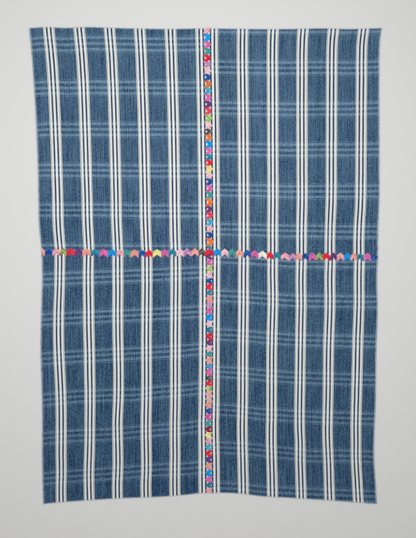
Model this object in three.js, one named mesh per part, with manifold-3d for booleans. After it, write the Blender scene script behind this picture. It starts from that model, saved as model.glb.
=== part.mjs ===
// A hand-woven indigo cloth, laid flat: four quarters joined edge to edge by three bands of chevrons in yarn.
// Millimetres. +X is the cloth's right, +Y its top hem and +Z up from the surface that it lies on.
// The origin is on that surface, under the middle of the cloth's box.

import * as THREE from "three";
import Module from "manifold-3d";

// Cloth
const CLOTH_THICKNESS = 1.5;
const CLOTH_COLUMNS = 16;
const CLOTH_ROWS = 20;

// Joining bands. The web is the yarn that passes down between the two edges of the cloth.
const FIT_GAP = 0.3;
const WEB_WIDTH = 2;
const BAND_EDGE_HEIGHT = 0.8;
const BAND_CROWN_HEIGHT = 1.9;
const BAND_JOINT_HEIGHT = 1.2;

// The ripples fade out towards the joining bands, where the embroidery holds the cloth flat.
const FLAT_BESIDE_SEAM = 24;
const FADE_BESIDE_SEAM = 45;

// Finishes
const INDIGO = "#4f6f8d";
const BAND_COLOURS = { upper: "#d8708f", lower: "#c9628a", cross: "#dc6f78" };
const CLOTH_ROUGHNESS = 0.92;
const YARN_ROUGHNESS = 0.75;

// Corners of the four quarters: three along the top hem, three along the cross seam, three along the bottom.
const CORNERS = {
  topLeft: { x: -600, y: 807 },
  topMiddle: { x: 5, y: 806.5 },
  topRight: { x: 600, y: 807.5 },
  crossLeft: { x: -557.5, y: 42.5 },
  crossing: { x: 14.5, y: 41 },
  crossRight: { x: 586.5, y: 26 },
  bottomLeft: { x: -552.5, y: -811 },
  bottomMiddle: { x: 13.5, y: -773 },
  bottomRight: { x: 583, y: -811 },
};

// Edges. Selvedges and upright seams run from a hem to the cross seam, hems and cross seams from a selvedge
// to the middle. Each sway row says how far the edge strays from the straight line: at is the share of its
// length, by the distance, along +X for selvedges and upright seams and along +Y for hems and cross seams.
const EDGES = {
  selvedgeUpperLeft: {
    from: "topLeft",
    to: "crossLeft",
    sway: [
      { at: 0.15, by: 4 },
      { at: 0.5, by: 5 },
      { at: 0.72, by: 0.5 },
      { at: 0.86, by: -3.5 },
    ],
  },
  selvedgeLowerLeft: {
    from: "bottomLeft",
    to: "crossLeft",
    sway: [
      { at: 0.17, by: -2.5 },
      { at: 0.4, by: -1.5 },
      { at: 0.61, by: -5.5 },
      { at: 0.76, by: -3 },
      { at: 0.89, by: 1 },
    ],
  },
  selvedgeUpperRight: {
    from: "topRight",
    to: "crossRight",
    sway: [
      { at: 0.06, by: -5.5 },
      { at: 0.23, by: -5.5 },
      { at: 0.53, by: -1 },
      { at: 0.75, by: 1.5 },
      { at: 0.88, by: -0.5 },
    ],
  },
  selvedgeLowerRight: {
    from: "bottomRight",
    to: "crossRight",
    sway: [
      { at: 0.06, by: -3 },
      { at: 0.2, by: -10 },
      { at: 0.44, by: -5 },
      { at: 0.62, by: -4 },
      { at: 0.79, by: 0 },
      { at: 0.91, by: -2.5 },
    ],
  },
  hemTopLeft: {
    from: "topLeft",
    to: "topMiddle",
    sway: [
      { at: 0.1, by: 4 },
      { at: 0.2, by: 1 },
      { at: 0.31, by: 4 },
      { at: 0.55, by: 0 },
      { at: 0.8, by: -2 },
    ],
  },
  hemTopRight: {
    from: "topRight",
    to: "topMiddle",
    sway: [
      { at: 0.18, by: -3 },
      { at: 0.35, by: -0.5 },
      { at: 0.52, by: -2.5 },
      { at: 0.8, by: -2 },
    ],
  },
  hemBottomLeft: {
    from: "bottomLeft",
    to: "bottomMiddle",
    sway: [
      { at: 0.14, by: 2 },
      { at: 0.5, by: 1 },
      { at: 0.68, by: -2 },
      { at: 0.86, by: -1.5 },
      { at: 0.95, by: 1 },
    ],
  },
  hemBottomRight: {
    from: "bottomRight",
    to: "bottomMiddle",
    sway: [
      { at: 0.16, by: 1 },
      { at: 0.52, by: 1 },
      { at: 0.7, by: 0.5 },
      { at: 0.8, by: 4 },
      { at: 0.88, by: 4 },
    ],
  },
  seamUpper: {
    from: "topMiddle",
    to: "crossing",
    sway: [
      { at: 0.15, by: -0.5 },
      { at: 0.4, by: 1 },
      { at: 0.65, by: 1 },
    ],
  },
  seamLower: {
    from: "bottomMiddle",
    to: "crossing",
    sway: [
      { at: 0.16, by: -1.5 },
      { at: 0.28, by: -3 },
      { at: 0.38, by: -1.5 },
      { at: 0.6, by: 0 },
    ],
  },
  crossLeftSeam: {
    from: "crossLeft",
    to: "crossing",
    sway: [
      { at: 0.5, by: -1 },
    ],
  },
  crossRightSeam: {
    from: "crossRight",
    to: "crossing",
    sway: [
      { at: 0.3, by: -2 },
      { at: 0.52, by: -4 },
      { at: 0.7, by: 0 },
    ],
  },
};

// The quarters: their four edges, and which way the joining gap lies from the quarter.
const QUARTERS = [
  {
    name: "panel_upper_left",
    outer: "selvedgeUpperLeft",
    hem: "hemTopLeft",
    seam: "seamUpper",
    cross: "crossLeftSeam",
    gapX: 1,
    gapY: -1,
  },
  {
    name: "panel_upper_right",
    outer: "selvedgeUpperRight",
    hem: "hemTopRight",
    seam: "seamUpper",
    cross: "crossRightSeam",
    gapX: -1,
    gapY: -1,
  },
  {
    name: "panel_lower_left",
    outer: "selvedgeLowerLeft",
    hem: "hemBottomLeft",
    seam: "seamLower",
    cross: "crossLeftSeam",
    gapX: 1,
    gapY: 1,
  },
  {
    name: "panel_lower_right",
    outer: "selvedgeLowerRight",
    hem: "hemBottomRight",
    seam: "seamLower",
    cross: "crossRightSeam",
    gapX: -1,
    gapY: 1,
  },
];

// Low ripples that the cloth keeps as it lies: middle, heading from +X in degrees, and size.
const RIPPLES = [
  { where: "top left corner", x: -480, y: 735, heading: -20, length: 300, breadth: 130, height: 4 },
  { where: "upper left, middle", x: -260, y: 400, heading: 3, length: 420, breadth: 170, height: 3 },
  { where: "cross seam, left end", x: -470, y: 150, heading: 24, length: 260, breadth: 110, height: 3.5 },
  { where: "upper right, hem", x: 250, y: 610, heading: 4, length: 460, breadth: 170, height: 3 },
  { where: "upper right, selvedge", x: 460, y: 215, heading: -5, length: 320, breadth: 130, height: 3 },
  { where: "cross seam, right end", x: 470, y: -90, heading: 18, length: 260, breadth: 110, height: 3.5 },
  { where: "lower left, seam", x: -250, y: -520, heading: 5, length: 480, breadth: 130, height: 4.5 },
  { where: "lower left, hem", x: -410, y: -680, heading: 7, length: 300, breadth: 110, height: 3.5 },
  { where: "lower right, seam", x: 310, y: -630, heading: -6, length: 480, breadth: 130, height: 4.5 },
  { where: "lower right, middle", x: 330, y: -300, heading: -4, length: 380, breadth: 150, height: 3 },
];

// Breadth of a motif by its letter in a chart: the embroidery is uneven, and a band may end on half a motif.
const MOTIF_BREADTH = { h: 0.46, n: 0.87, o: 1, w: 1.14 };

// The bands: their seams in order, the letters of their motifs, which way the chevrons point, and a chevron's
// sizes across the seam: rise from notch to tip, and depth of an arm. The cross band stops short of the right
// selvedge.
const BANDS = {
  upper: {
    path: ["seamUpper"],
    chart: ["nwooonoowo", "ooooonooon", "nonnoownoo", "wnwo"].join(""),
    points: new THREE.Vector2(1, 0),
    rise: 9,
    arm: 18.5,
  },
  lower: {
    path: ["seamLower"],
    chart: ["nnowowooow", "oownwnnnnn", "wnwnoowoow", "oownwnwooo"].join(""),
    points: new THREE.Vector2(-1, 0),
    rise: 9,
    arm: 18.5,
  },
  cross: {
    path: ["crossLeftSeam", "crossRightSeam"],
    chart: ["hownwnwwww", "oowonwoooo", "onooooooow", "nownnnonon", "onnnoh"].join(""),
    points: new THREE.Vector2(0, 1),
    rise: 10,
    arm: 20.5,
  },
};
const CROSS_END_SHORT = 12;

const wasm = await Module();
wasm.setup();

/** A smooth curve through an edge's sway rows, from one corner to the next. */
function edgeLine(name) {
  const { from, to, sway } = EDGES[name];
  const start = new THREE.Vector2(CORNERS[from].x, CORNERS[from].y);
  const end = new THREE.Vector2(CORNERS[to].x, CORNERS[to].y);
  const shares = [0, ...sway.map((row) => row.at), 1];
  const strays = [0, ...sway.map((row) => row.by), 0];
  const stray = new THREE.CubicInterpolant(shares, strays, 1);
  const upright = Math.abs(end.y - start.y) > Math.abs(end.x - start.x);
  return (share) => {
    const point = start.clone().lerp(end, share);
    const [by] = stray.evaluate(share);
    return upright ? point.setX(point.x + by) : point.setY(point.y + by);
  };
}

/** The edge as straight steps, the same ones that the cloth's grid has along it. */
function edgeSteps(name) {
  const line = edgeLine(name);
  const steps = name.startsWith("seam") ? CLOTH_ROWS : CLOTH_COLUMNS;
  return Array.from({ length: steps + 1 }, (_, step) => line(step / steps));
}

/** A soft hump: 1 in the middle, 0 from a distance of 1 outwards. */
function hump(distance) {
  return Math.abs(distance) < 1 ? (1 - distance ** 2) ** 2 : 0;
}

const SEAM_LINES = {
  upper: edgeLine("seamUpper"),
  lower: edgeLine("seamLower"),
  left: edgeLine("crossLeftSeam"),
  right: edgeLine("crossRightSeam"),
};

/** Distance from a point to the nearest seam. */
function seamDistance(x, y) {
  const { topMiddle, crossing, bottomMiddle, crossLeft, crossRight } = CORNERS;
  const hemY = y > crossing.y ? topMiddle.y : bottomMiddle.y;
  const sideX = x < crossing.x ? crossLeft.x : crossRight.x;
  const fromHem = THREE.MathUtils.clamp((y - hemY) / (crossing.y - hemY), 0, 1);
  const fromSide = THREE.MathUtils.clamp((x - sideX) / (crossing.x - sideX), 0, 1);
  const upright = y > crossing.y ? SEAM_LINES.upper(fromHem) : SEAM_LINES.lower(fromHem);
  const level = x < crossing.x ? SEAM_LINES.left(fromSide) : SEAM_LINES.right(fromSide);
  return Math.min(Math.abs(x - upright.x), Math.abs(y - level.y));
}

/** Height of the cloth's underside above the surface that it lies on. */
function clothLift(x, y) {
  const fadeEnd = FLAT_BESIDE_SEAM + FADE_BESIDE_SEAM;
  const fade = THREE.MathUtils.smoothstep(seamDistance(x, y), FLAT_BESIDE_SEAM, fadeEnd);
  const lift = RIPPLES.reduce((sum, ripple) => {
    const offset = new THREE.Vector2(x - ripple.x, y - ripple.y);
    offset.rotateAround(new THREE.Vector2(), -THREE.MathUtils.degToRad(ripple.heading));
    const along = hump(offset.x / (ripple.length / 2));
    const across = hump(offset.y / (ripple.breadth / 2));
    return sum + ripple.height * along * across;
  }, 0);
  return fade * lift;
}

/** A quarter's point in plan: share across from the selvedge, and share along from the hem. */
function quarterPlan({ outer, hem, seam, cross, gapX, gapY }) {
  const sides = { outer: edgeLine(outer), hem: edgeLine(hem), seam: edgeLine(seam), cross: edgeLine(cross) };
  const gap = WEB_WIDTH / 2 + FIT_GAP;
  return (across, along) => {
    const betweenSides = sides.outer(along).lerp(sides.seam(along), across);
    const betweenEnds = sides.hem(across).lerp(sides.cross(across), along);
    const hemChord = sides.hem(0).lerp(sides.hem(1), across);
    const crossChord = sides.cross(0).lerp(sides.cross(1), across);
    const betweenCorners = hemChord.lerp(crossChord, along);
    const plan = betweenSides.add(betweenEnds).sub(betweenCorners);
    return plan.set(plan.x - gapX * gap * across, plan.y - gapY * gap * along);
  };
}

/** A closed geometry from points and triangles, turned so that its faces point out. */
function closedGeometry(points, triangles) {
  const normal = new THREE.Vector3();
  const volume = triangles.reduce((sum, [i, j, k]) => {
    normal.crossVectors(points[j], points[k]);
    return sum + points[i].dot(normal);
  }, 0);
  const facing = volume > 0 ? triangles : triangles.map(([i, j, k]) => [i, k, j]);
  const geometry = new THREE.BufferGeometry().setFromPoints(points);
  geometry.setIndex(facing.flat());
  geometry.computeVertexNormals();
  return geometry;
}

/** The points on the rim of a quarter's grid, in order round it. */
function gridRim() {
  const rim = [];
  for (let column = 0; column < CLOTH_COLUMNS; column += 1) {
    rim.push([column, 0]);
  }
  for (let row = 0; row < CLOTH_ROWS; row += 1) {
    rim.push([CLOTH_COLUMNS, row]);
  }
  for (let column = CLOTH_COLUMNS; column > 0; column -= 1) {
    rim.push([column, CLOTH_ROWS]);
  }
  for (let row = CLOTH_ROWS; row > 0; row -= 1) {
    rim.push([0, row]);
  }
  return rim;
}

/** One quarter of the cloth: a thin sheet on its own grid, top and underside joined round the rim. */
function quarterGeometry(quarter) {
  const plan = quarterPlan(quarter);
  const points = [];
  const triangles = [];
  for (const top of [0, 1]) {
    for (let row = 0; row <= CLOTH_ROWS; row += 1) {
      for (let column = 0; column <= CLOTH_COLUMNS; column += 1) {
        const { x, y } = plan(column / CLOTH_COLUMNS, row / CLOTH_ROWS);
        points.push(new THREE.Vector3(x, y, clothLift(x, y) + top * CLOTH_THICKNESS));
      }
    }
  }
  const index = ([column, row], top) => (top * (CLOTH_ROWS + 1) + row) * (CLOTH_COLUMNS + 1) + column;
  const quad = (p, q, r, s) => triangles.push([p, q, r], [p, r, s]);
  for (let row = 0; row < CLOTH_ROWS; row += 1) {
    for (let column = 0; column < CLOTH_COLUMNS; column += 1) {
      const cell = [[column, row], [column + 1, row], [column + 1, row + 1], [column, row + 1]];
      quad(...cell.map((corner) => index(corner, 1)));
      quad(...cell.map((corner) => index(corner, 0)).reverse());
    }
  }
  const rim = gridRim();
  rim.forEach((here, step) => {
    const next = rim[(step + 1) % rim.length];
    quad(index(here, 0), index(next, 0), index(next, 1), index(here, 1));
  });
  return closedGeometry(points, triangles);
}

/** Where a band's chevrons turn, as shares of its length: at their tips and at the joints between motifs. */
function chevronTurns(chart) {
  const breadths = [...chart].map((letter) => MOTIF_BREADTH[letter]);
  const total = breadths.reduce((sum, breadth) => sum + breadth, 0);
  const turns = [{ at: 0, point: chart.startsWith("h") }];
  let start = 0;
  breadths.forEach((breadth, motif) => {
    const isHalf = chart[motif] === "h";
    if (!isHalf) {
      turns.push({ at: (start + breadth / 2) / total, point: true });
    }
    start += breadth;
    turns.push({ at: start / total, point: isHalf && motif > 0 });
  });
  return turns;
}

/** The route of a band over its seams, from the hem or the left selvedge. */
function bandRoute({ path }) {
  const [first, second] = path;
  const outward = second ? edgeSteps(second).reverse().slice(1) : [];
  return new THREE.Path([...edgeSteps(first), ...outward]);
}

/** A solid lofted through one closed section at each turn of a band. The section lists pairs: across, up. */
function loftBand(band, sectionAt) {
  const route = bandRoute(band);
  const length = route.getLength();
  const reach = band.path.length > 1 ? (length - CROSS_END_SHORT) / length : 1;
  const turns = chevronTurns(band.chart);
  const sections = turns.map((turn) => sectionAt(turn));
  const round = sections[0].length;
  const points = turns.flatMap(({ at }, station) => {
    const middle = route.getPointAt(at * reach);
    return sections[station].map(([across, up]) => {
      const plan = middle.clone().addScaledVector(band.points, across);
      return new THREE.Vector3(plan.x, plan.y, up);
    });
  });
  const triangles = [];
  for (let station = 0; station + 1 < turns.length; station += 1) {
    for (let side = 0; side < round; side += 1) {
      const next = (side + 1) % round;
      const [p, q] = [station * round + side, station * round + next];
      triangles.push([p, q, q + round], [p, q + round, p + round]);
    }
  }
  const capOf = (station) => {
    const contour = sections[station].map(([across, up]) => new THREE.Vector2(across, up));
    const corners = THREE.ShapeUtils.triangulateShape(contour, []);
    return corners.map((triangle) => triangle.map((side) => station * round + side));
  };
  triangles.push(...capOf(0).map(([i, j, k]) => [i, k, j]), ...capOf(turns.length - 1));
  return closedGeometry(points, triangles);
}

/** How far a band reaches across its seam at a turn: to the notch side and to the point side. */
function bandReach({ rise, arm }, { point }) {
  const middle = (rise + arm) / 2;
  const low = (point ? rise : 0) - middle;
  return { low, high: low + arm };
}

/** A band's solid: crowned chevrons over both edges of the cloth, and the yarn's web down between them. */
function bandGeometry(band) {
  const under = CLOTH_THICKNESS + FIT_GAP;
  const half = WEB_WIDTH / 2;
  return loftBand(band, (turn) => {
    const { low, high } = bandReach(band, turn);
    const crown = turn.point ? BAND_CROWN_HEIGHT : BAND_JOINT_HEIGHT;
    return [
      [low, under],
      [-half, under],
      [-half, 0],
      [half, 0],
      [half, under],
      [high, under],
      [high, under + BAND_EDGE_HEIGHT],
      [(low + high) / 2, under + crown],
      [low, under + BAND_EDGE_HEIGHT],
    ];
  });
}

/** The room that a band takes, with the fitting gap round it, to cut its neighbours back from it. */
function bandRoom(band) {
  const slantGap = FIT_GAP * Math.SQRT2;
  const [floor, roof] = [-CLOTH_THICKNESS, 4 * CLOTH_THICKNESS];
  return loftBand(band, (turn) => {
    const { low, high } = bandReach(band, turn);
    const [near, far] = [low - slantGap, high + slantGap];
    return [[near, floor], [far, floor], [far, roof], [near, roof]];
  });
}

/** A geometry as a solid for cutting. */
function toSolid(geometry) {
  const vertProperties = new Float32Array(geometry.getAttribute("position").array);
  const triVerts = new Uint32Array(geometry.getIndex().array);
  return new wasm.Manifold(new wasm.Mesh({ numProp: 3, vertProperties, triVerts }));
}

/** A cut solid as a geometry. */
function toGeometry(solid) {
  const { vertProperties, triVerts } = solid.getMesh();
  const geometry = new THREE.BufferGeometry();
  geometry.setAttribute("position", new THREE.BufferAttribute(vertProperties, 3));
  geometry.setIndex([...triVerts]);
  geometry.computeVertexNormals();
  return geometry;
}

/** A named mesh in a woven or stitched finish. */
function clothMesh(name, geometry, color, roughness) {
  const material = new THREE.MeshStandardMaterial({ color, roughness, metalness: 0 });
  const mesh = new THREE.Mesh(geometry, material);
  mesh.name = name;
  return mesh;
}

const cloth = new THREE.Group();
for (const quarter of QUARTERS) {
  cloth.add(clothMesh(quarter.name, quarterGeometry(quarter), INDIGO, CLOTH_ROUGHNESS));
}

// The cross band is worked last, over the ends of the two upright ones.
const crossRoom = toSolid(bandRoom(BANDS.cross));
cloth.add(clothMesh("joining_band_cross", bandGeometry(BANDS.cross), BAND_COLOURS.cross, YARN_ROUGHNESS));
for (const name of ["upper", "lower"]) {
  const cut = toSolid(bandGeometry(BANDS[name])).subtract(crossRoom);
  cloth.add(clothMesh(`joining_band_${name}`, toGeometry(cut), BAND_COLOURS[name], YARN_ROUGHNESS));
}

export default cloth;
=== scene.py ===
"""A hand-woven indigo cloth, laid flat, whose four quarters are joined by bands of embroidered chevrons.

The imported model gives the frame: metres, +X to the cloth's right, +Y to its top hem and +Z up from the
surface that it lies on. The script weaves the four quarters as thin sheets, works the three joining bands
stitch by stitch, and sets the floor, the lights and the camera.
"""

import logging
import math
from collections.abc import Mapping, Sequence
from dataclasses import dataclass, field
from enum import Enum
from typing import ClassVar, NamedTuple

import bpy
import numpy as np
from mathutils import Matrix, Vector


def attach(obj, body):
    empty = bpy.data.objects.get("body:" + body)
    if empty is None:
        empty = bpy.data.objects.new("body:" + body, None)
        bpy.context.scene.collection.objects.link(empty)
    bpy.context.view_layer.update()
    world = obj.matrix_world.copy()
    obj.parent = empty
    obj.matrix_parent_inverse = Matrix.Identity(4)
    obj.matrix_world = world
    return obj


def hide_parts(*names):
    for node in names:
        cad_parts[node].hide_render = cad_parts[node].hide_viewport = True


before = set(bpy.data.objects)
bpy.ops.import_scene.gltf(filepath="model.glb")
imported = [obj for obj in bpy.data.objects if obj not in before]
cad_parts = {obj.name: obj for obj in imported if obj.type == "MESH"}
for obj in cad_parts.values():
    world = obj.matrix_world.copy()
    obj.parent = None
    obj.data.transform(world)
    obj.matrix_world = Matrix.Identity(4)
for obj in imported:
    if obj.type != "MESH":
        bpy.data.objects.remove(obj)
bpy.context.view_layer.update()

LOG = logging.getLogger("joined_cloth")
WEAVE_MAP = "weave"
EDGE_DISTANCE = "from_edge"
STITCH_MAP = "stitch"
YARN_SHADE = "yarn_shade"

Floats = np.ndarray
Socket = bpy.types.NodeSocket
Value = float | Socket
Colour = tuple[float, float, float]
Tint = Socket | Colour
Feed = Value | Colour
Kinds = Mapping[str, Socket]

BLACK: Colour = (0.0, 0.0, 0.0)
WHITE: Colour = (1.0, 1.0, 1.0)


def linear(shade: str) -> Colour:
    """A colour's linear red, green and blue, by the sRGB curve.

    Args:
        shade: The colour as a hex code, such as "#4f6f8d".

    Returns:
        The three linear shares.
    """
    parts = [int(shade[start : start + 2], 16) / 255 for start in (1, 3, 5)]
    return tuple(part / 12.92 if part <= 0.04045 else ((part + 0.055) / 1.055) ** 2.4 for part in parts)


def smooth_step(low: float, high: float, at: Floats) -> Floats:
    """A smooth rise from 0 at low to 1 at high."""
    share = np.clip((at - low) / (high - low), 0, 1)
    return share * share * (3 - 2 * share)


def hump(distance: Floats) -> Floats:
    """A soft hump: 1 in the middle, 0 from a distance of 1 outwards."""
    return np.clip(1 - distance**2, 0, None) ** 2


def smooth_through(knots: Floats, values: Floats, at: Floats) -> Floats:
    """A smooth curve through given values, of cubic pieces that have the same slope where they meet.

    Args:
        knots: Places of the values, rising.
        values: The values there.
        at: Places to read the curve at.

    Returns:
        The curve's values at those places.
    """
    steps = np.diff(knots)
    slopes = np.diff(values) / steps
    tangents = np.concatenate([slopes[:1], (slopes[:-1] + slopes[1:]) / 2, slopes[-1:]])
    index = np.clip(np.searchsorted(knots, at, side="right") - 1, 0, len(steps) - 1)
    step = steps[index]
    share = (at - knots[index]) / step
    square, cube = share**2, share**3
    return (
        (2 * cube - 3 * square + 1) * values[index]
        + (cube - 2 * square + share) * step * tangents[index]
        + (3 * square - 2 * cube) * values[index + 1]
        + (cube - square) * step * tangents[index + 1]
    )


class Corner(Enum):
    """Corners of the four quarters in plan: along the top hem, the cross seam and the bottom hem."""

    TOP_LEFT = (-0.6000, 0.8070)
    TOP_MIDDLE = (0.0050, 0.8065)
    TOP_RIGHT = (0.6000, 0.8075)
    CROSS_LEFT = (-0.5575, 0.0425)
    CROSSING = (0.0145, 0.0410)
    CROSS_RIGHT = (0.5865, 0.0260)
    BOTTOM_LEFT = (-0.5525, -0.8110)
    BOTTOM_MIDDLE = (0.0135, -0.7730)
    BOTTOM_RIGHT = (0.5830, -0.8110)


@dataclass(frozen=True)
class EdgeLine:
    """A smooth edge or seam between two corners.

    Attributes:
        start: Corner where it begins.
        end: Corner where it ends.
        sway: Rows of a share of its length and how far it strays there from the straight line.
    """

    start: Corner
    end: Corner
    sway: tuple[tuple[float, float], ...]

    def at(self, share: Floats) -> Floats:
        """Points of the line in plan.

        Args:
            share: Shares of the line's length, from 0 at its start to 1 at its end.

        Returns:
            The points, with x and y along the last axis.
        """
        start, end = np.array(self.start.value), np.array(self.end.value)
        knots = np.array([0.0, *(at for at, _ in self.sway), 1.0])
        strays = np.array([0.0, *(by for _, by in self.sway), 0.0])
        share = np.asarray(share, dtype=float)
        points = start + share[..., None] * (end - start)
        is_upright = abs(end[1] - start[1]) > abs(end[0] - start[0])
        points[..., 0 if is_upright else 1] += smooth_through(knots, strays, share)
        return points

    def across_at(self, along: Floats, axis: int) -> Floats:
        """Where the line runs on one axis.

        Args:
            along: Places on the other axis.
            axis: The axis that is asked for, 0 for x and 1 for y.

        Returns:
            The line's places on it.
        """
        start, end = self.start.value[1 - axis], self.end.value[1 - axis]
        return self.at(np.clip((along - start) / (end - start), 0, 1))[..., axis]


class Edge(Enum):
    """Selvedges, hems and seams.

    Selvedges and upright seams run from a hem to the cross seam, hems and cross seams from a selvedge to the
    middle.
    """

    SELVEDGE_UPPER_LEFT = EdgeLine(
        Corner.TOP_LEFT, Corner.CROSS_LEFT, ((0.15, 0.0040), (0.50, 0.0050), (0.72, 0.0005), (0.86, -0.0035))
    )
    SELVEDGE_LOWER_LEFT = EdgeLine(
        Corner.BOTTOM_LEFT,
        Corner.CROSS_LEFT,
        ((0.17, -0.0025), (0.40, -0.0015), (0.61, -0.0055), (0.76, -0.0030), (0.89, 0.0010)),
    )
    SELVEDGE_UPPER_RIGHT = EdgeLine(
        Corner.TOP_RIGHT,
        Corner.CROSS_RIGHT,
        ((0.06, -0.0055), (0.23, -0.0055), (0.53, -0.0010), (0.75, 0.0015), (0.88, -0.0005)),
    )
    SELVEDGE_LOWER_RIGHT = EdgeLine(
        Corner.BOTTOM_RIGHT,
        Corner.CROSS_RIGHT,
        ((0.06, -0.0030), (0.20, -0.0100), (0.44, -0.0050), (0.62, -0.0040), (0.79, 0.0), (0.91, -0.0025)),
    )
    HEM_TOP_LEFT = EdgeLine(
        Corner.TOP_LEFT,
        Corner.TOP_MIDDLE,
        ((0.10, 0.0040), (0.20, 0.0010), (0.31, 0.0040), (0.55, 0.0), (0.80, -0.0020)),
    )
    HEM_TOP_RIGHT = EdgeLine(
        Corner.TOP_RIGHT,
        Corner.TOP_MIDDLE,
        ((0.18, -0.0030), (0.35, -0.0005), (0.52, -0.0025), (0.80, -0.0020)),
    )
    HEM_BOTTOM_LEFT = EdgeLine(
        Corner.BOTTOM_LEFT,
        Corner.BOTTOM_MIDDLE,
        ((0.14, 0.0020), (0.50, 0.0010), (0.68, -0.0020), (0.86, -0.0015), (0.95, 0.0010)),
    )
    HEM_BOTTOM_RIGHT = EdgeLine(
        Corner.BOTTOM_RIGHT,
        Corner.BOTTOM_MIDDLE,
        ((0.16, 0.0010), (0.52, 0.0010), (0.70, 0.0005), (0.80, 0.0040), (0.88, 0.0040)),
    )
    SEAM_UPPER = EdgeLine(
        Corner.TOP_MIDDLE, Corner.CROSSING, ((0.15, -0.0005), (0.40, 0.0010), (0.65, 0.0010))
    )
    SEAM_LOWER = EdgeLine(
        Corner.BOTTOM_MIDDLE,
        Corner.CROSSING,
        ((0.16, -0.0015), (0.28, -0.0030), (0.38, -0.0015), (0.60, 0.0)),
    )
    CROSS_SEAM_LEFT = EdgeLine(Corner.CROSS_LEFT, Corner.CROSSING, ((0.50, -0.0010),))
    CROSS_SEAM_RIGHT = EdgeLine(
        Corner.CROSS_RIGHT, Corner.CROSSING, ((0.30, -0.0020), (0.52, -0.0040), (0.70, 0.0))
    )

    def at(self, share: Floats) -> Floats:
        """Points of the edge at shares of its length."""
        return self.value.at(share)

    def length(self) -> float:
        """The edge's length between its corners."""
        return math.dist(self.value.start.value, self.value.end.value)


@dataclass(frozen=True)
class Ripple:
    """A low ripple that the cloth keeps as it lies: its middle, heading from +X in degrees, and size."""

    x: float
    y: float
    heading: float
    length: float
    breadth: float
    height: float

    def lift(self, x: Floats, y: Floats) -> Floats:
        """Heights of the ripple.

        Args:
            x: The places' x.
            y: The places' y.

        Returns:
            The heights there.
        """
        turn = math.radians(self.heading)
        ahead = (x - self.x) * math.cos(turn) + (y - self.y) * math.sin(turn)
        aside = (y - self.y) * math.cos(turn) - (x - self.x) * math.sin(turn)
        return self.height * hump(ahead / (self.length / 2)) * hump(aside / (self.breadth / 2))


RIPPLES = (
    Ripple(-0.480, 0.735, -20, 0.300, 0.130, 0.0040),
    Ripple(-0.260, 0.400, 3, 0.420, 0.170, 0.0030),
    Ripple(-0.470, 0.150, 24, 0.260, 0.110, 0.0035),
    Ripple(0.250, 0.610, 4, 0.460, 0.170, 0.0030),
    Ripple(0.460, 0.215, -5, 0.320, 0.130, 0.0030),
    Ripple(0.470, -0.090, 18, 0.260, 0.110, 0.0035),
    Ripple(-0.250, -0.520, 5, 0.480, 0.130, 0.0045),
    Ripple(-0.410, -0.680, 7, 0.300, 0.110, 0.0035),
    Ripple(0.310, -0.630, -6, 0.480, 0.130, 0.0045),
    Ripple(0.330, -0.300, -4, 0.380, 0.150, 0.0030),
)


@dataclass(frozen=True)
class BentWave:
    """A wave with bent crests.

    Attributes:
        pace: Radians a metre across the crests.
        bend: How far the crests bend, in radians.
        bend_pace: Radians a metre of the bends, along the crests.
    """

    pace: float
    bend: float
    bend_pace: float

    def at(self, across: Floats, along: Floats) -> Floats:
        """The wave, from -1 to 1, at places across its crests and along them."""
        return np.sin(self.pace * across + self.bend * np.sin(self.bend_pace * along))


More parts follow.
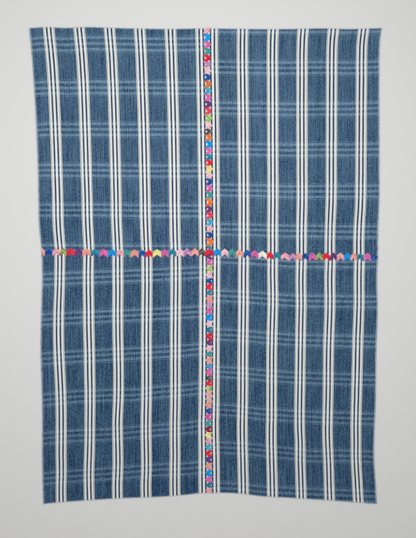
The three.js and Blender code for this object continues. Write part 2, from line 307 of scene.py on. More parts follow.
@dataclass(frozen=True)
class ClothLie:
    """How the cloth lies on its surface: low ripples, and the small relief that the joins draw into it.

    Attributes:
        thickness: Thickness of the woven cloth.
        flat_beside_seam: Breadth beside a seam that the embroidery holds flat.
        fade_beside_seam: Breadth over which the ripples rise from there.
        back_stitch_room: How far the cloth stands up beside a seam, over the yarn on its back.
        back_stitch_reach: Breadth of that rise.
        pucker_height: Height of the small puckers along a seam.
        pucker_pitch: Distance from one pucker to the next.
        pucker_reach: Breadth of the puckers beside the seam.
        slack_height: Height of the fine unevenness all over.
        slack_x: Its waves along X.
        slack_y: Its waves along Y.
    """

    thickness: float = 0.0011
    flat_beside_seam: float = 0.024
    fade_beside_seam: float = 0.045
    back_stitch_room: float = 0.00045
    back_stitch_reach: float = 0.030
    pucker_height: float = 0.0004
    pucker_pitch: float = 0.0235
    pucker_reach: float = 0.026
    slack_height: float = 0.0003
    slack_x: BentWave = BentWave(31.0, 1.3, 9.0)
    slack_y: BentWave = BentWave(27.0, 1.7, 11.0)

    def seam_top(self) -> float:
        """Height of the cloth's face beside a seam."""
        return self.thickness + self.back_stitch_room

    @staticmethod
    def seam_distances(x: Floats, y: Floats) -> tuple[Floats, Floats]:
        """Distances from places in plan to the upright seam and to the cross seam.

        Args:
            x: The places' x.
            y: The places' y.

        Returns:
            The distances to the upright seam and those to the cross seam.
        """
        cross_x, cross_y = Corner.CROSSING.value
        upper, lower = (seam.value.across_at(y, 0) for seam in (Edge.SEAM_UPPER, Edge.SEAM_LOWER))
        left, right = (seam.value.across_at(x, 1) for seam in (Edge.CROSS_SEAM_LEFT, Edge.CROSS_SEAM_RIGHT))
        return np.abs(x - np.where(y > cross_y, upper, lower)), np.abs(y - np.where(x < cross_x, left, right))

    def lift(self, x: Floats, y: Floats) -> Floats:
        """Heights of the cloth's underside above the surface.

        Args:
            x: The places' x.
            y: The places' y.

        Returns:
            The heights.
        """
        from_upright, from_cross = self.seam_distances(x, y)
        nearest = np.minimum(from_upright, from_cross)
        fade = smooth_step(self.flat_beside_seam, self.flat_beside_seam + self.fade_beside_seam, nearest)
        ripples = fade * sum(ripple.lift(x, y) for ripple in RIPPLES)
        room = self.back_stitch_room * (1 - smooth_step(0, self.back_stitch_reach, nearest))
        along_seam = np.where(from_upright < from_cross, y, x)
        puckers = (1 + np.sin(2 * math.pi / self.pucker_pitch * along_seam)) / 2
        puckers = self.pucker_height * puckers * hump(nearest / self.pucker_reach)
        slack = (1 + self.slack_x.at(x, y) * self.slack_y.at(y, x)) / 2
        return ripples + room + puckers + self.slack_height * slack * fade


LIE = ClothLie()


@dataclass(frozen=True)
class Uneven:
    """A value that varies, and how far each kind of unevenness takes it from its least to its most.

    Attributes:
        middle: The value where every kind is half way.
        thread: From thread to thread of the warp.
        pick: From pick to pick of the weft.
        streak: In long streaks along the warp.
        slub: In thick and thin places of the warp's yarn.
        mottle: In large patches of the cloth.
        fine: Over a few threads and picks.
        ply: From the grooves to the strands of the embroidery yarn.
        fuzz: In that yarn's fuzz.
    """

    middle: float
    thread: float = 0.0
    pick: float = 0.0
    streak: float = 0.0
    slub: float = 0.0
    mottle: float = 0.0
    fine: float = 0.0
    ply: float = 0.0
    fuzz: float = 0.0


@dataclass(frozen=True)
class Grain:
    """The grain of a smooth noise.

    Attributes:
        across: How often it changes over one unit of the first coordinate.
        along: The same for the second.
        detail: How much finer noise there is in it.
        start: Where the first coordinate starts in it.
    """

    across: float
    along: float
    detail: float = 1.0
    start: float = 0.0


@dataclass(frozen=True)
class Fade:
    """A smooth change: the places where it starts and ends, and how far it goes."""

    start: float
    end: float
    by: float = 1.0


@dataclass(frozen=True)
class Surface:
    """How a finish takes the light.

    Attributes:
        roughness: Its roughness.
        specular: Its specular level.
        sheen: Weight of its sheen.
        sheen_roughness: Roughness of its sheen.
        bump: Strength of its fine relief.
        depth: Depth of that relief.
    """

    roughness: Uneven
    specular: float
    sheen: float = 0.0
    sheen_roughness: float = 0.5
    bump: float = 0.0
    depth: float = 0.0


class NodeSheet:
    """The node tree of one material, with a call for each kind of node that the finishes use.

    Attributes:
        MIX_COLOURS: A Mix node's inputs for its two colours, which come after those for numbers and vectors.
        MIXED_COLOUR: Its output for the mixed colour.
    """

    MIX_COLOURS = (6, 7)
    MIXED_COLOUR = 2

    def __init__(self, name: str) -> None:
        """Starts a material.

        Args:
            name: The material's name.
        """
        self.material = bpy.data.materials.new(name)
        self.material.use_nodes = True
        self.tree = self.material.node_tree
        self.shader = self.tree.nodes["Principled BSDF"]

    def feed(self, target: Socket, value: Feed) -> None:
        """Links an input to a socket, or sets its own number or colour.

        Args:
            target: The input.
            value: The socket, number or colour.
        """
        if isinstance(value, Socket):
            self.tree.links.new(value, target)
        else:
            target.default_value = (*value, 1) if isinstance(value, tuple) else value

    def node(self, kind: str, feeds: Mapping[str | int, Feed], **settings: str | bool) -> bpy.types.Node:
        """Adds a node.

        Args:
            kind: Its kind.
            feeds: What its inputs are fed with, by their names or places.
            settings: Its own settings.

        Returns:
            The node.
        """
        node = self.tree.nodes.new(f"ShaderNode{kind}")
        for name, setting in settings.items():
            setattr(node, name, setting)
        for key, value in feeds.items():
            self.feed(node.inputs[key], value)
        return node

    def math(self, operation: str, *values: Value) -> Socket:
        """The result of a Math node."""
        return self.node("Math", dict(enumerate(values)), operation=operation).outputs[0]

    def times(self, first: Value, second: Value) -> Socket:
        """The product of two values."""
        return self.math("MULTIPLY", first, second)

    def blend(self, share: Value, first: Tint, second: Tint) -> Socket:
        """A colour between two others, by the share of the second one, which isn't limited to 0 to 1."""
        feeds = {0: share, **dict(zip(self.MIX_COLOURS, (first, second)))}
        return self.node("Mix", feeds, data_type="RGBA", clamp_factor=False).outputs[self.MIXED_COLOUR]

    def split(self, vector: Socket) -> list[Socket]:
        """The three parts of a vector."""
        return list(self.node("SeparateXYZ", {0: vector}).outputs)

    def uv(self, name: str) -> list[Socket]:
        """The two coordinates of one of the piece's UV maps."""
        return self.split(self.node("UVMap", {}, uv_map=name).outputs[0])[:2]

    def place(self) -> list[Socket]:
        """The three Object coordinates."""
        return self.split(self.node("TexCoord", {}).outputs["Object"])

    def attribute(self, name: str, output: str) -> Socket:
        """One of the piece's attributes, by the output that gives it as a number or a colour."""
        return self.node("Attribute", {}, attribute_name=name).outputs[output]

    def noise(self, grain: Grain, across: Value, along: Value) -> Socket:
        """Smooth noise over two coordinates.

        Args:
            grain: The noise's grain.
            across: The first coordinate.
            along: The second coordinate.

        Returns:
            The noise, from 0 to 1.
        """
        first = self.math("MULTIPLY_ADD", across, grain.across, grain.start)
        vector = self.node("CombineXYZ", {0: first, 1: self.times(along, grain.along)}).outputs[0]
        feeds = {"Vector": vector, "Scale": 1.0, "Detail": grain.detail}
        return self.node("TexNoise", feeds, noise_dimensions="2D").outputs[0]

    def chance(self, number: Value) -> Socket:
        """A random share, from 0 to 1, for each number."""
        return self.node("TexWhiteNoise", {"W": number}, noise_dimensions="1D").outputs[0]

    def fade(self, change: Fade, place: Value) -> Socket:
        """How far a smooth change has gone at a place."""
        feeds = {"Value": place, "From Min": change.start, "From Max": change.end}
        return self.times(self.node("MapRange", feeds, interpolation_type="SMOOTHSTEP").outputs[0], change.by)

    def hold(self, value: Value, low: float = 0.0, high: float = 1.0) -> Socket:
        """A value, held between two limits."""
        return self.node("Clamp", {0: value, 1: low, 2: high}).outputs[0]

    def weigh(self, value: Uneven, kinds: Kinds) -> Value:
        """Gives a value its unevenness.

        Args:
            value: The value's middle, and the weight of each kind of unevenness.
            kinds: Sockets of the kinds, which run from 0 to 1.

        Returns:
            The uneven value.
        """
        weights = {kind: getattr(value, kind) for kind in kinds}
        total: Value = value.middle - sum(weights.values()) / 2
        for kind, weight in weights.items():
            if weight:
                total = self.math("MULTIPLY_ADD", kinds[kind], weight, total)
        return total

    def finish(
        self, surface: Surface, colour: Tint, kinds: Kinds, relief: Socket | None = None
    ) -> bpy.types.Material:
        """Finishes the shader.

        Args:
            surface: How it takes the light.
            colour: Its colour.
            kinds: Kinds of unevenness in its roughness.
            relief: Height of its fine relief, from 0 to about 1.

        Returns:
            The finished material.
        """
        feeds = {
            "Base Color": colour,
            "Roughness": self.weigh(surface.roughness, kinds),
            "Specular IOR Level": surface.specular,
            "Sheen Weight": surface.sheen,
            "Sheen Roughness": surface.sheen_roughness,
        }
        if relief is not None:
            bump = {"Strength": surface.bump, "Distance": surface.depth, "Height": relief}
            feeds["Normal"] = self.node("Bump", bump).outputs[0]
        for name, value in feeds.items():
            self.feed(self.shader.inputs[name], value)
        return self.material


class ThreadCount(NamedTuple):
    """Sockets that count the threads of the warp, or those of the weft, which are its picks.

    Attributes:
        at: The place, counted in threads.
        number: Number of the thread there.
        place: Its place in its repeat, counted from the middle of the light lines, to either side.
        light: 1 where it is one of the light threads, and 0 elsewhere.
        dark: The same for the dark threads.
        bulge: Its round: 1 along its middle and 0 at its sides.
    """

    at: Socket
    number: Socket
    place: Socket
    light: Socket
    dark: Socket
    bulge: Socket


@dataclass(frozen=True)
class StripeDraft:
    """The draft of the warp or the weft: a repeat of blue threads around a group of three light lines.

    Places in a repeat are counted in threads from the group's middle, to either side.

    Attributes:
        repeat: Threads in a repeat.
        middle: Half the breadth of the middle line.
        dark: Middle and half breadth of the dark line beside it.
        side: Middle and half breadth of the light line beside that.
        thin: Middle and half breadth of that line's edge, where only some threads are light.
        every: Of how many threads in that edge one is light.
    """

    repeat: int
    middle: float
    dark: tuple[float, float]
    side: tuple[float, float]
    thin: tuple[float, float]
    every: int

    def count(self, sheet: NodeSheet, repeats: Socket, first: float) -> ThreadCount:
        """Counts the threads.

        Args:
            sheet: The material's nodes.
            repeats: Places, counted in repeats.
            first: Middle of the first group, in repeats.

        Returns:
            The threads' sockets.
        """
        at = sheet.math("MULTIPLY_ADD", repeats, self.repeat, -first * self.repeat)
        number = sheet.math("ROUND", at)
        place = sheet.math("ABSOLUTE", sheet.math("WRAP", number, self.repeat / 2, -self.repeat / 2))
        dark = sheet.math("COMPARE", place, *self.dark)
        bulge = sheet.math("COSINE", sheet.times(sheet.math("SUBTRACT", at, number), math.pi))
        return ThreadCount(at, number, place, self.light(sheet, place), dark, bulge)

    def light(self, sheet: NodeSheet, place: Socket) -> Socket:
        """Finds the light threads.

        Args:
            sheet: The material's nodes.
            place: Places in the repeat.

        Returns:
            1 where they are and 0 elsewhere.
        """
        in_middle = sheet.math("LESS_THAN", place, self.middle)
        in_side = sheet.math("COMPARE", place, *self.side)
        in_thin = sheet.math("COMPARE", place, *self.thin)
        beyond = sheet.math("SUBTRACT", place, self.thin[0])
        in_turn = sheet.math("LESS_THAN", sheet.math("FLOORED_MODULO", beyond, self.every), 0.5)
        return sheet.math("ADD", in_middle, sheet.math("MAXIMUM", in_side, sheet.times(in_thin, in_turn)))


@dataclass(frozen=True)
class IndigoCloth:
    """The finish of the cloth: a warp-faced plain weave, drafted thread by thread.

    The weave map counts stripe repeats across and bands of pale picks along.

    Attributes:
        name: The material's name.
        warp: Draft of the warp, with its white stripes.
        weft: Draft of the weft, with its pale lines.
        first_stripe: Middle of the first white group, in repeats from the selvedge.
        blue_deep: The blue warp at its deepest.
        blue_faded: The same where it has faded.
        blue_dark: The dark lines of the warp.
        white: The white warp.
        white_shaded: The same where it is shaded.
        weft_blue: The blue weft.
        weft_dark: Its dark picks.
        weft_pale: Its pale lines.
        edge_pale: The loops of weft along the selvedge.
        wander: Grain of the warp's small wandering.
        wander_by: How far it wanders, in repeats.
        streak: Grain of the streaks.
        slub: Grain of the slubs.
        mottle: Grain of the mottling.
        fine: Grain of the fine unevenness.
        pick_seed: Added to a pick's number, so that its tone isn't that of the warp thread with this number.
        tone: Share of fading in the blue warp.
        tone_range: Limits of that share.
        deeper: How the blue deepens down the cloth.
        shade: Share of shading in the white warp.
        side_shade: How that grows from the middle stripe to the side ones, by threads.
        weft_tone: Share of the dark weft among the blue.
        fainter: How the pale lines grow fainter down the cloth.
        show: Share of the weft that shows between blue warp threads.
        show_white: The same between white ones.
        cover: Unevenness of what shows.
        cover_flat: What shows where the warp lies over the weft, as a share.
        cover_spot: How much more shows in the middle of a spot where the weft lies over the warp.
        edge: How the pale edge grows towards the selvedge.
        loops: Unevenness of its loops.
        loop_round: How much they follow the picks.
        relief_flat: Height of a warp thread under a pick.
        relief_over: How much higher it is over a pick.
        relief_slub: How much higher it is at a slub.
        surface: How it takes the light.
    """

    name: str = "indigo_weave"
    warp: StripeDraft = StripeDraft(108, 3.5, dark=(7.0, 3.4), side=(13.0, 2.4), thin=(18.0, 2.4), every=2)
    weft: StripeDraft = StripeDraft(112, 3.5, dark=(7.5, 4.0), side=(15.0, 3.4), thin=(22.0, 2.4), every=4)
    first_stripe: float = 0.65
    blue_deep: Colour = linear("#365470")
    blue_faded: Colour = linear("#52708a")
    blue_dark: Colour = linear("#183a60")
    white: Colour = linear("#f8f7ee")
    white_shaded: Colour = linear("#dbdacf")
    weft_blue: Colour = linear("#36536e")
    weft_dark: Colour = linear("#263f5d")
    weft_pale: Colour = linear("#a2c4da")
    edge_pale: Colour = linear("#b0bec8")
    wander: Grain = Grain(1.3, 2.5)
    wander_by: float = 0.003
    streak: Grain = Grain(0.25, 0.012)
    slub: Grain = Grain(0.45, 0.06)
    mottle: Grain = Grain(2.1, 1.6, detail=3.0, start=-1.05)
    fine: Grain = Grain(0.24, 0.17, detail=2.0)
    pick_seed: float = 0.37
    tone: Uneven = Uneven(0.5, thread=1.3, streak=2.5, slub=1.6, mottle=0.9, fine=4.0)
    tone_range: tuple[float, float] = (-1.0, 2.0)
    deeper: Fade = Fade(0.75, -0.85, by=0.60)
    shade: Uneven = Uneven(0.10, thread=0.3, slub=0.5)
    side_shade: Fade = Fade(3.0, 11.0, by=0.20)
    weft_tone: Uneven = Uneven(0.3, pick=0.6)
    fainter: Fade = Fade(0.10, -0.80, by=0.32)
    show: float = 0.24
    show_white: float = 0.07
    cover: Uneven = Uneven(1.0, slub=1.0, fine=0.8)
    cover_flat: float = 0.6
    cover_spot: float = 2.0
    edge: Fade = Fade(0.0065, 0.00195)
    loops: Uneven = Uneven(0.35, slub=0.9, fine=0.7)
    loop_round: float = 0.45
    relief_flat: float = 0.4
    relief_over: float = 0.45
    relief_slub: float = 0.4
    surface: Surface = Surface(
        Uneven(0.88, fine=0.14), specular=0.15, sheen=0.06, sheen_roughness=0.6, bump=0.4, depth=0.0004
    )

    def dye_warp(self, sheet: NodeSheet, warp: ThreadCount, kinds: Kinds) -> Socket:
        """Dyes the warp blue, with its dark lines and white stripes.

        Args:
            sheet: The material's nodes.
            warp: The warp's threads.
            kinds: Kinds of unevenness.

        Returns:
            The colour.
        """
        height = sheet.place()[1]
        tone = sheet.math("SUBTRACT", sheet.weigh(self.tone, kinds), sheet.fade(self.deeper, height))
        blue = sheet.blend(sheet.hold(tone, *self.tone_range), self.blue_deep, self.blue_faded)
        blue = sheet.blend(warp.dark, blue, self.blue_dark)
        shade = sheet.math("ADD", sheet.weigh(self.shade, kinds), sheet.fade(self.side_shade, warp.place))
        white = sheet.blend(sheet.hold(shade), self.white, self.white_shaded)
        return sheet.blend(warp.light, blue, white)

    def dye_weft(self, sheet: NodeSheet, weft: ThreadCount, kinds: Kinds) -> Socket:
        """Dyes the weft blue, with its dark picks and pale lines.

        Args:
            sheet: The material's nodes.
            weft: The weft's picks.
            kinds: Kinds of unevenness.

        Returns:
            The colour.
        """
        height = sheet.place()[1]
        blue = sheet.blend(sheet.weigh(self.weft_tone, kinds), self.weft_blue, self.weft_dark)
        blue = sheet.blend(weft.dark, blue, self.weft_dark)
        left = sheet.math("SUBTRACT", 1.0, sheet.fade(self.fainter, height))
        return sheet.blend(sheet.times(weft.light, left), blue, self.weft_pale)

    def weft_share(self, sheet: NodeSheet, white: Socket, spot: Socket, kinds: Kinds) -> Socket:
        """How much of the weft shows between the warp threads.

        Args:
            sheet: The material's nodes.
            white: 1 on white warp threads and 0 on blue ones.
            spot: The round of the weft where it lies over the warp.
            kinds: Kinds of unevenness.

        Returns:
            The weft's share of the colour.
        """
        show = sheet.math("MULTIPLY_ADD", white, self.show_white - self.show, self.show)
        cover = sheet.math("MULTIPLY_ADD", spot, self.cover_spot, self.cover_flat)
        return sheet.times(show, sheet.times(cover, sheet.weigh(self.cover, kinds)))

    def edge_share(self, sheet: NodeSheet, weft: ThreadCount, kinds: Kinds) -> Socket:
        """How much of the pale loops shows along the selvedge.

        Args:
            sheet: The material's nodes.
            weft: The weft's picks.
            kinds: Kinds of unevenness.

        Returns:
            The loops' share of the colour.
        """
        edge = sheet.fade(self.edge, sheet.attribute(EDGE_DISTANCE, "Fac"))
        loops = sheet.math("MULTIPLY_ADD", weft.bulge, self.loop_round, sheet.weigh(self.loops, kinds))
        return sheet.hold(sheet.times(edge, loops))

    def make(self) -> bpy.types.Material:
        """Makes the cloth's material.

        Returns:
            The material.
        """
        sheet = NodeSheet(self.name)
        across, along = sheet.uv(WEAVE_MAP)
        wander = sheet.noise(self.wander, across, along)
        wander = sheet.math("MULTIPLY_ADD", wander, 2 * self.wander_by, -self.wander_by)
        across = sheet.math("ADD", across, wander)
        warp = self.warp.count(sheet, across, self.first_stripe)
        weft = self.weft.count(sheet, along, 0.0)
        kinds = {
            "thread": sheet.chance(warp.number),
            "pick": sheet.chance(sheet.math("ADD", weft.number, self.pick_seed)),
            "streak": sheet.noise(self.streak, warp.at, weft.at),
            "slub": sheet.noise(self.slub, warp.at, weft.at),
            "mottle": sheet.noise(self.mottle, across, along),
            "fine": sheet.noise(self.fine, warp.at, weft.at),
        }
        weft_up = sheet.math("FLOORED_MODULO", sheet.math("ADD", warp.number, weft.number), 2.0)
        spot = sheet.times(weft_up, sheet.times(warp.bulge, weft.bulge))
        weft_share = self.weft_share(sheet, warp.light, spot, kinds)
        colour = sheet.blend(weft_share, self.dye_warp(sheet, warp, kinds), self.dye_weft(sheet, weft, kinds))
        colour = sheet.blend(self.edge_share(sheet, weft, kinds), colour, self.edge_pale)
        warp_over = sheet.times(sheet.math("SUBTRACT", 1.0, weft_up), weft.bulge)
        relief = sheet.math("MULTIPLY_ADD", warp_over, self.relief_over, self.relief_flat)
        relief = sheet.math("MULTIPLY_ADD", kinds["slub"], self.relief_slub, sheet.times(warp.bulge, relief))
        return sheet.finish(self.surface, colour, kinds, relief)


WEAVE = IndigoCloth()


@dataclass(frozen=True)
class Pull:
    """A place where the warp or the weft has drifted.

    Attributes:
        group: Number of the stripe group that it moves most, counted from the selvedge.
        along: Share of the way from the hem to the cross seam.
        by: How far it moves the warp towards the selvedge, or the weft towards the hem.
        reach: How far it reaches along, as a share of the way.
        groups: How many groups it reaches to either side. Unless given, it hardly leaves its own.
    """

    group: float
    along: float
    by: float
    reach: float
    groups: float = 0.45

    def drift(self, groups: Floats, along: Floats) -> Floats:
        """How far threads at given places are moved."""
        aside, ahead = (groups - self.group) / self.groups, (along - self.along) / self.reach
        return self.by * np.exp(-(aside**2) - ahead**2)


@dataclass(frozen=True)
class Quarter:
    """One quarter of the cloth, woven and laid flat.

    Attributes:
        name: The piece's name.
        node: The solid that it stands for.
        selvedge: Its outer edge.
        hem: Its edge at the top or bottom of the cloth.
        seam: Its edge along the upright join.
        cross: Its edge along the cross join.
        to_seam: Sign of the way from the selvedge to the upright seam, along X.
        to_cross: Sign of the way from the hem to the cross seam, along Y.
        wefts: Middle lines of the bands of pale picks: distance from the hem at the selvedge and at the seam.
        map_start: Its first repeat in the weave map, far enough on that no two quarters share streaks.
        pulls: Places where the warp has drifted sideways.
        weft_pulls: Places where the weft has drifted along.
        bow: How far the weft's lines bow away from the hem half way across.
        columns: Cells of its grid across.
        rows: Cells of its grid along.
        crowding: How much finer the grid is at its edges, from 0 to 1.
        repeats: Stripe repeats from the selvedge to the seam.
        repeat_breadth: Breadth of a repeat.
        seam_gap: Distance from its edge to the seam's line.
        hem_share: Breadth of the edge along the hem, as a share of that along the selvedge.
        bead_height: Extra height of the bound edge.
        bead_breadth: Breadth of that edge along the selvedge.
        smooth_angle: Angle in degrees up to which its faces are shaded as one.
        outline_points: Points along each side that its flat area is measured at.
    """

    name: str
    node: str
    selvedge: Edge
    hem: Edge
    seam: Edge
    cross: Edge
    to_seam: int
    to_cross: int
    wefts: tuple[tuple[float, float], ...]
    map_start: int
    pulls: tuple[Pull, ...] = ()
    weft_pulls: tuple[Pull, ...] = ()
    bow: float = 0.0
    columns: int = 120
    rows: int = 168
    crowding: float = 0.7
    repeats: float = 5.825
    repeat_breadth: float = 0.1
    seam_gap: float = 0.0005
    hem_share: float = 0.5
    bead_height: float = 0.0003
    bead_breadth: float = 0.003
    smooth_angle: float = 40.0
    outline_points: int = 60

    def plan(self, across: Floats, along: Floats) -> Floats:
        """Points of the quarter in plan.

        Args:
            across: Shares of the way from the selvedge to the seam.
            along: Shares of the way from the hem to the cross seam.

        Returns:
            The points, with x and y along the last axis.
        """
        share, step = across[..., None], along[..., None]
        selvedge, seam = self.selvedge.at(along), self.seam.at(along)
        hem, cross = self.hem.at(across), self.cross.at(across)
        hem_chord = self.hem.at(0) + share * (self.hem.at(1) - self.hem.at(0))
        cross_chord = self.cross.at(0) + share * (self.cross.at(1) - self.cross.at(0))
        between_sides = selvedge + share * (seam - selvedge)
        between_ends = hem + step * (cross - hem)
        points = between_sides + between_ends - (hem_chord + step * (cross_chord - hem_chord))
        points[..., 0] -= self.to_seam * self.seam_gap * across
        points[..., 1] -= self.to_cross * self.seam_gap * along
        return points

    def weft_count(self, across: Floats, along: Floats) -> Floats:
        """Counts of weft bands from the hem, whole on a band's middle line.

        Args:
            across: Shares of the way from the selvedge to the seam.
            along: Shares of the way from the hem to the cross seam.

        Returns:
            The counts.
        """
        bow = self.bow / self.seam.length() * 4 * across * (1 - across)
        lines = [
            (1 - across) * at_selvedge / self.selvedge.length() + across * at_seam / self.seam.length() + bow
            for at_selvedge, at_seam in self.wefts
        ]
        count = np.zeros_like(along)
        for band, (line, following) in enumerate(zip(lines[:-1], lines[1:])):
            beyond = band + (along - line) / (following - line)
            count = np.where((along >= line) | (band == 0), beyond, count)
        return count

    def crowd(self, share: Floats) -> Floats:
        """Shares moved towards 0 and 1, where the grid is finer."""
        return share - self.crowding / (2 * math.pi) * np.sin(2 * math.pi * share)

    def build(self) -> bpy.types.Object:
        """Weaves the quarter as a thin sheet.

        Returns:
            The finished piece.
        """
        bpy.ops.object.select_all(action="DESELECT")
        bpy.ops.mesh.primitive_grid_add(x_subdivisions=self.columns, y_subdivisions=self.rows, size=1)
        piece = bpy.context.object
        mesh = piece.data
        piece.name = mesh.name = self.name
        points = np.empty(len(mesh.vertices) * 3)
        mesh.vertices.foreach_get("co", points)
        grid_x, grid_y, _ = points.reshape(-1, 3).T
        across, along = self.crowd(0.5 + self.to_seam * grid_x), self.crowd(0.5 + self.to_cross * grid_y)
        x, y = self.plan(across, along).T
        from_edge = np.minimum(across * self.hem.length(), along * self.seam.length() / self.hem_share)
        bead = self.bead_height * hump(from_edge / self.bead_breadth)
        points = np.column_stack([x, y, LIE.lift(x, y) + LIE.thickness + bead])
        mesh.vertices.foreach_set("co", points.ravel())
        self.map_weave(mesh, across, along)
        mesh.attributes.new(EDGE_DISTANCE, "FLOAT", "POINT").data.foreach_set("value", from_edge)
        mesh.update()
        wall = piece.modifiers.new("thickness", "SOLIDIFY")
        wall.thickness = LIE.thickness
        wall.offset = -1
        bpy.ops.object.modifier_apply(modifier=wall.name)
        bpy.ops.object.shade_smooth_by_angle(angle=math.radians(self.smooth_angle))
        return piece

    def map_weave(self, mesh: bpy.types.Mesh, across: Floats, along: Floats) -> None:
        """Writes the weave map: stripe repeats across, and weft bands along.

        Args:
            mesh: The quarter's mesh.
            across: Each point's share of the way from the selvedge to the seam.
            along: Each point's share of the way from the hem to the cross seam.
        """
        repeats = self.repeats * across
        groups = repeats - WEAVE.first_stripe
        drift = sum(pull.drift(groups, along) for pull in self.pulls)
        weft_drift = sum(pull.drift(groups, along) for pull in self.weft_pulls)
        repeats = repeats + drift / self.repeat_breadth + self.map_start
        wefts = self.weft_count(across, along + weft_drift / self.seam.length())
        corners = np.empty(len(mesh.loops), dtype=np.int32)
        mesh.loops.foreach_get("vertex_index", corners)
        layer = mesh.uv_layers[0]
        layer.name = WEAVE_MAP
        layer.uv.foreach_set("vector", np.column_stack([repeats, wefts])[corners].ravel())

    def flat_area(self) -> float:
        """Measures the flat cut, from its outline.

        Returns:
            Its area.
        """
        share = np.linspace(0, 1, self.outline_points)
        zero, one = np.zeros_like(share), np.ones_like(share)
        sides = ((share, zero), (one, share), (share[::-1], one), (zero, share[::-1]))
        x, y = np.concatenate([self.plan(*side) for side in sides]).T
        return abs(float(np.sum(x * np.roll(y, -1) - y * np.roll(x, -1)))) / 2

    def dress(self, piece: bpy.types.Object, cloth: bpy.types.Material) -> None:
        """Gives the piece its material and body.

        Args:
            piece: The quarter.
            cloth: The cloth's material.
        """
        piece.data.materials.append(cloth)
        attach(piece, "root")
        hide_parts(self.node)

    def declare(self, piece: bpy.types.Object, bands: Sequence[bpy.types.Object]) -> None:
        """Args:
            piece: The quarter. Not used.
            bands: The joining bands along its edges. Not used.
        """
        flat = (
            max(self.hem.length(), self.cross.length()),
            max(self.selvedge.length(), self.seam.length()),
        )
        self.flat_area()


class Yarn(Enum):
    """The embroidery yarns: the shade of each, and the yarn whose shade runs through it in flecks."""

    PINK = ("#ffbecb", "ROSE")
    BLUSH = ("#ffccd3", "PINK")
    ROSE = ("#f44c66", "RED")
    RED = ("#f0243e", "ROSE")
    MAROON = ("#9e2c46", "MAROON")
    MAGENTA = ("#ea6ab4", "LILAC")
    LILAC = ("#c58cc1", "BLUSH")
    PLUM = ("#733d7a", "DARK_PLUM")
    DARK_PLUM = ("#664c90", "PLUM")
    NAVY = ("#1c4c9e", "SKY")
    SKY = ("#05a0f0", "SKY")
    LIGHT_SKY = ("#60a0d4", "SKY")
    CYAN = ("#56c0d8", "SKY")
    TEAL = ("#2086a8", "JADE")
    JADE = ("#4eaca4", "TEAL")
    LIME = ("#a0c974", "YELLOW")
    YELLOW = ("#fff090", "CREAM")
    CREAM = ("#fffde4", "CREAM")
    BEIGE = ("#e4c2b6", "PINK")
    SALMON = ("#ffa690", "PINK")
    ORANGE = ("#ff8444", "ORANGE")
    CHARCOAL = ("#464847", "BEIGE")

    def colour(self) -> Floats:
        """The yarn's linear colour."""
        return np.array(linear(self.value[0]))

    def fleck(self) -> "Yarn":
        """The yarn of its flecks."""
        return Yarn[self.value[1]]


class Breadth(Enum):
    """Breadth of a motif along its seam, against an ordinary one."""

    HALF = 0.46
    LONG_HALF = 0.78
    NARROW = 0.87
    ORDINARY = 1.0
    WIDE = 1.14


@dataclass(frozen=True)
class Motif:
    """One chevron of a band.

    Attributes:
        USUAL_SHARE: The flecks' share where they have their yarn's usual shade.
        MIXED_SHARE: Their share where the chart names a yarn for them.
        yarn: Its yarn.
        fleck: The yarn of its flecks.
        share: The flecks' share in a flecked stitch.
        breadth: Its breadth along the seam.
    """

    USUAL_SHARE: ClassVar[float] = 0.6
    MIXED_SHARE: ClassVar[float] = 1.0

    yarn: Yarn
    fleck: Yarn
    share: float
    breadth: Breadth

    @classmethod
    def read(cls, words: str) -> "Motif":
        """Reads a motif from a chart.

        Args:
            words: Its words, such as "dark_plum wide", or "lime+maroon narrow" with a yarn for its flecks.

        Returns:
            The motif.
        """
        yarns, breadth = words.upper().split()
        yarn, *mixed = (Yarn[name] for name in yarns.split("+"))
        if mixed:
            return cls(yarn, mixed[0], cls.MIXED_SHARE, Breadth[breadth])
        return cls(yarn, yarn.fleck(), cls.USUAL_SHARE, Breadth[breadth])

    def shade(self, fleck: float = 0.0) -> Floats:
        """The linear colour of a stitch with that share of the fleck's shade."""
        return (1 - fleck) * self.yarn.colour() + fleck * self.fleck.colour()


UPPER_CHART = """
pink long_half, sky wide, magenta ordinary, jade ordinary, red ordinary, lilac narrow, blush ordinary, navy
ordinary, orange ordinary, cyan ordinary, magenta ordinary, plum ordinary, rose ordinary, lime wide, blush
ordinary, charcoal narrow, orange narrow, sky wide, magenta narrow, teal narrow, red narrow, yellow
ordinary, blush narrow, navy ordinary, magenta ordinary, jade ordinary, orange wide, plum narrow, rose
ordinary, cyan ordinary, blush ordinary, navy narrow, orange wide, teal wide
"""
LOWER_CHART = """
pink+rose narrow, teal narrow, magenta ordinary, sky wide, salmon wide, dark_plum wide, red ordinary, cyan
ordinary, pink ordinary, yellow ordinary, maroon ordinary, jade ordinary, magenta wide, navy narrow, salmon
wide, beige narrow, pink narrow, lime narrow, red narrow, charcoal narrow, magenta wide, light_sky narrow,
salmon wide, jade narrow, blush ordinary, plum ordinary, red wide, teal ordinary, blush ordinary, sky wide,
magenta ordinary, lilac ordinary, salmon wide, teal narrow, red wide, navy narrow, blush wide, lime
ordinary, magenta ordinary, plum ordinary
"""
CROSS_CHART = """
salmon half, navy ordinary, pink ordinary, lime+maroon narrow, red wide, plum ordinary, salmon wide, teal
wide, magenta wide, sky wide, pink ordinary, jade narrow, salmon wide, navy narrow, red ordinary, yellow
wide, magenta ordinary, teal ordinary, blush ordinary, lilac ordinary, salmon ordinary, charcoal narrow, red
wide, sky ordinary, blush ordinary, jade ordinary, salmon ordinary, navy ordinary, magenta ordinary, cream
wide, red narrow, teal ordinary, pink wide, lilac narrow, salmon narrow, navy narrow, magenta ordinary,
lime+maroon narrow, red ordinary, plum narrow, pink ordinary, sky narrow, salmon narrow, teal narrow,
magenta ordinary, navy half
"""


